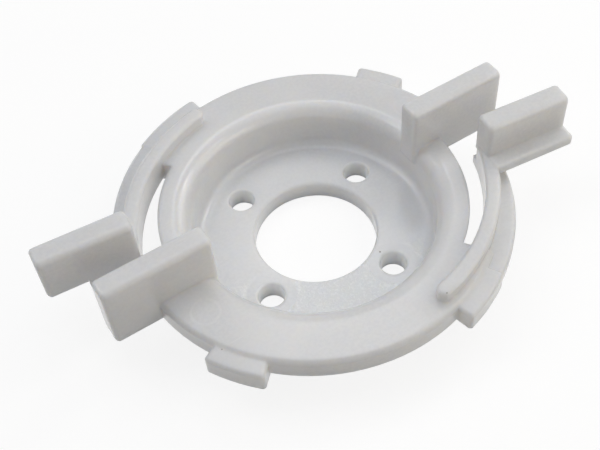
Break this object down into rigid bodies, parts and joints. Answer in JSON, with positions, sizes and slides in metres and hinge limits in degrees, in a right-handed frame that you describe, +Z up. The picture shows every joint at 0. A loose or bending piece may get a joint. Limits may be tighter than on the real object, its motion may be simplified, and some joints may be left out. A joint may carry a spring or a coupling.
{
  "type": "mower motor flange",
  "caption": "Moulded dish-shaped motor flange with a central bore, motor screw holes, bayonet lugs on its rim and paired spring-arm latches worked by finger grips.",
  "frame": {"origin": "on the bore axis, in the flat base face under the dish floor", "axes": "+Z up along the bore and out of the dish, +X along the fixed grips, +Y by the right-hand rule"},
  "size_m": [0.1316, 0.0978, 0.0307],
  "materials": {
    "moulded_plastic": "satin milky white, as moulded"
  },
  "bodies": {
    "root": {"motor_flange": "moulded_plastic"}
  },
  "joints": []
}
